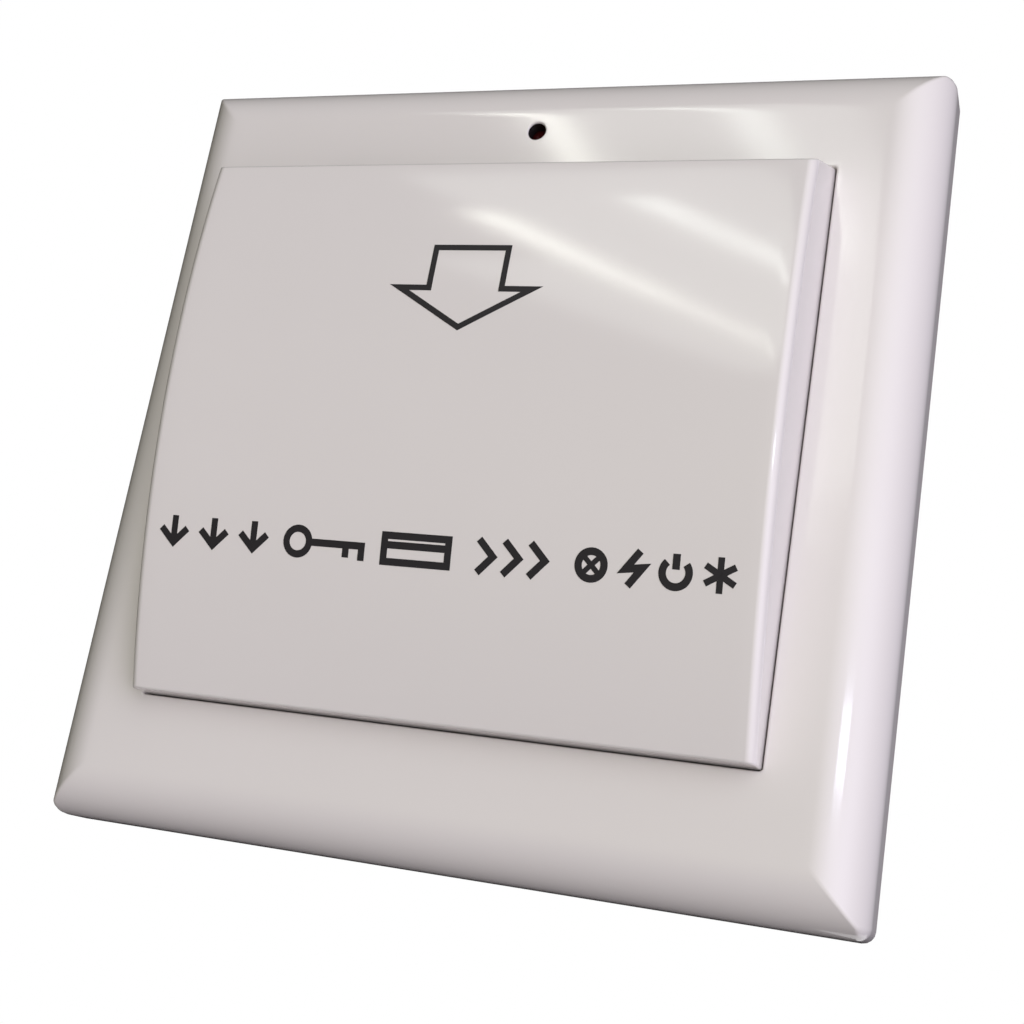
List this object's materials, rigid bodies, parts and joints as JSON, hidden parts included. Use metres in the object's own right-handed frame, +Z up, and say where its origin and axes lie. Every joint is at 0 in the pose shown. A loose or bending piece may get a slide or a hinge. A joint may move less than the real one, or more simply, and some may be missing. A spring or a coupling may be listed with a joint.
{
  "type": "hotel key card switch",
  "caption": "Square wall switch with an arched card pocket open at the top, an indicator lamp and a sprung lever that a key card pushes back to close a microswitch.",
  "frame": {"origin": "centre of the plate on the wall plane, midway between the two wall fixings", "axes": "+X right as seen from the room, +Z up, +Y into the wall; the front faces -Y"},
  "size_m": [0.086, 0.0498, 0.086],
  "materials": {
    "gloss_white": "glossy moulded off-white plastic",
    "inner_white": "satin moulded off-white plastic",
    "frame_grey": "satin pale grey plastic",
    "housing_grey": "spark-eroded pale grey plastic",
    "lever_white": "natural acetal",
    "steel": "bright zinc plated steel",
    "tinned_metal": "tinned legs",
    "brass": "turned brass",
    "board_green": "green solder mask",
    "relay_blue": "smooth blue plastic",
    "capacitor_yellow": "smooth yellow plastic",
    "can_sleeve": "shrunk dark blue sleeve",
    "varistor_blue": "dipped blue coating",
    "black_resin": "black moulded resin",
    "lamp_lens": "dark red clear lens",
    "printed_black": "thin black print on the cover",
    "block_green": "dark grey moulded plastic"
  },
  "bodies": {
    "base": {"front_plate": "gloss_white", "card_cover": "gloss_white", "card_cradle": "inner_white", "mounting_frame": "frame_grey", "rear_housing": "housing_grey", "housing_screws": "steel", "lever_pin": "steel", "lever_spring": "steel", "microswitch_case": "black_resin", "microswitch_terminals": "tinned_metal", "circuit_board": "board_green", "relay": "relay_blue", "mains_capacitor": "capacitor_yellow", "smoothing_capacitor": "can_sleeve", "timing_capacitor": "can_sleeve", "bridge_rectifier": "black_resin", "surge_varistor": "varistor_blue", "timer_chip": "black_resin", "relay_transistor": "black_resin", "resistors": "black_resin", "indicator_led": "lamp_lens", "led_leads": "tinned_metal", "terminal_block": "block_green", "terminal_cages": "brass", "terminal_screws": "steel"},
    "lever": {"card_lever": "lever_white"},
    "plunger": {"microswitch_plunger": "lever_white"}
  },
  "joints": [
    {"name": "lever_swing", "type": "hinge", "parent": "base", "child": "lever", "pos_m": [0, -0.0036, -0.001], "axis": [1, 0, 0], "range_deg": [0, 9], "stiffness_Nm_per_rad": 0.01, "springref_deg": -1.15, "deforming": ["lever_spring"]},
    {"name": "plunger_press", "type": "slide", "parent": "base", "child": "plunger", "axis": [0, 1, 0], "range_m": [0, 0.0014]}
  ],
  "couplings": [
    {"joint": "plunger_press", "follows": "lever_swing", "m_per_rad": 0.0083}
  ]
}
